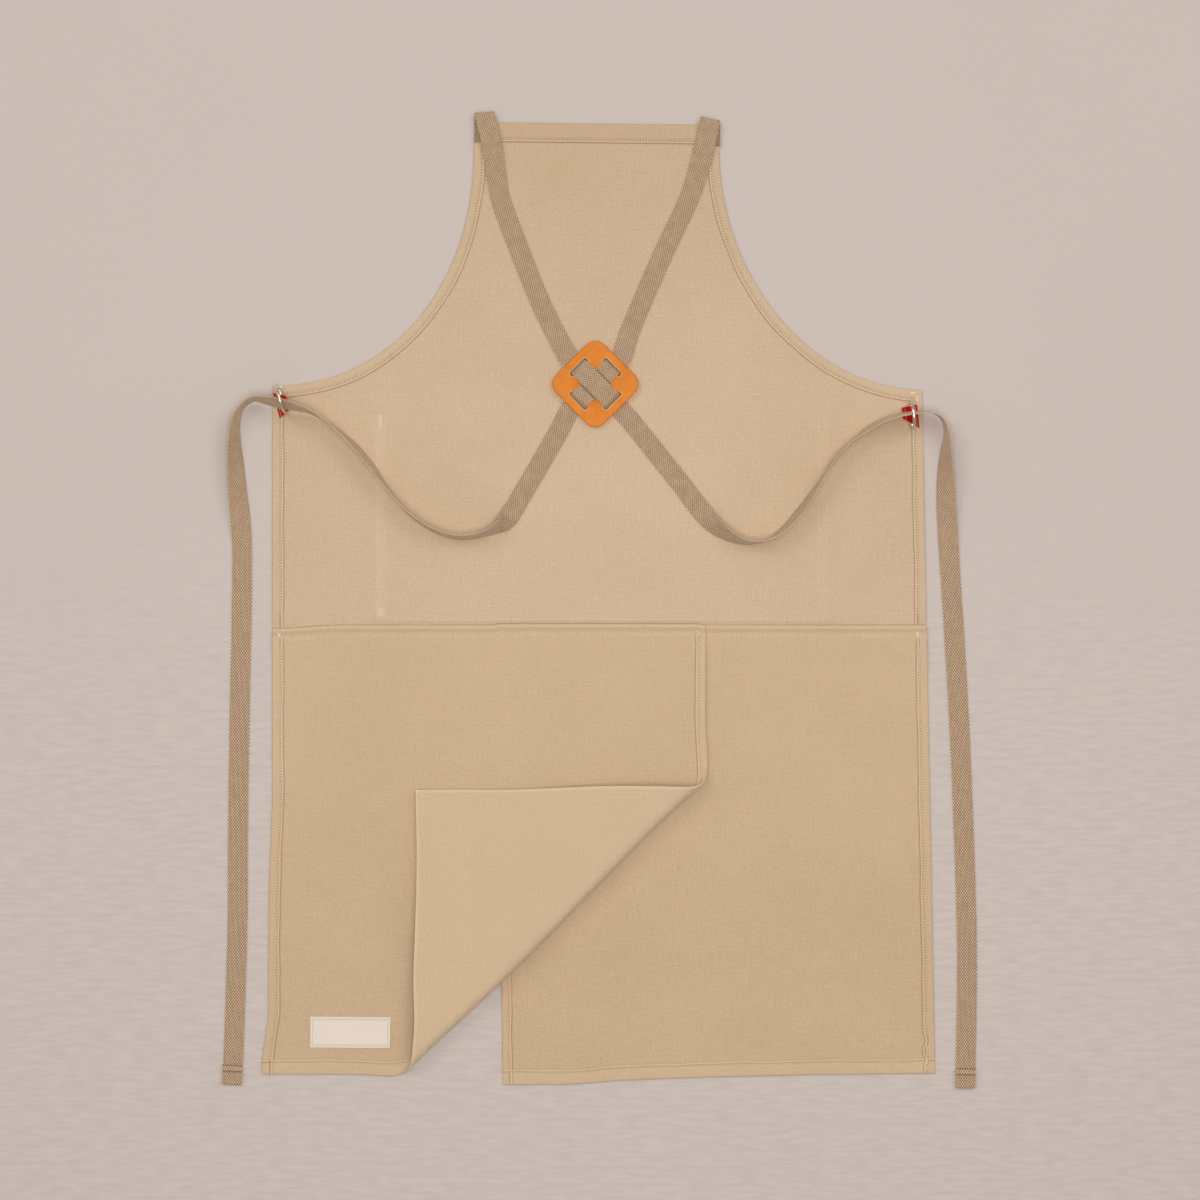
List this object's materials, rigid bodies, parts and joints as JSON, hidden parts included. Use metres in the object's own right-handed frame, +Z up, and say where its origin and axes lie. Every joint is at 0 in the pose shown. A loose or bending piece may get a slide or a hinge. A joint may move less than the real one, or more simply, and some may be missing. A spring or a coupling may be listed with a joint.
{
  "type": "canvas work apron",
  "caption": "Split-skirt canvas work apron laid out face down, with crossed webbing straps in a leather keeper, side rings on tape tabs and long free tie ends.",
  "frame": {"origin": "centre of the laid-out apron, on the surface that it lies on", "axes": "+X across the apron to the right as seen from above, +Y from the skirt hem to the top of the bib, +Z up from the floor"},
  "size_m": [0.7549, 0.9763, 0.0302],
  "materials": {
    "canvas": "beige cotton canvas with a fine plain weave and tone on tone stitching",
    "webbing": "brown cotton webbing with a twill weave and firm selvedges",
    "leather": "smooth orange tan leather with punched slits",
    "ring_metal": "pale polished wire",
    "tape": "red cotton twill tape",
    "label": "bare cream woven label with a stitched border"
  },
  "bodies": {
    "root": {"bib_panel": "canvas", "front_pocket": "canvas", "right_leg_panel": "canvas", "left_leg_panel": "canvas", "strap_a": "webbing", "strap_b": "webbing", "cross_keeper": "leather", "ring_left": "ring_metal", "ring_tab_left": "tape", "ring_right": "ring_metal", "ring_tab_right": "tape", "care_label": "label"}
  },
  "joints": []
}
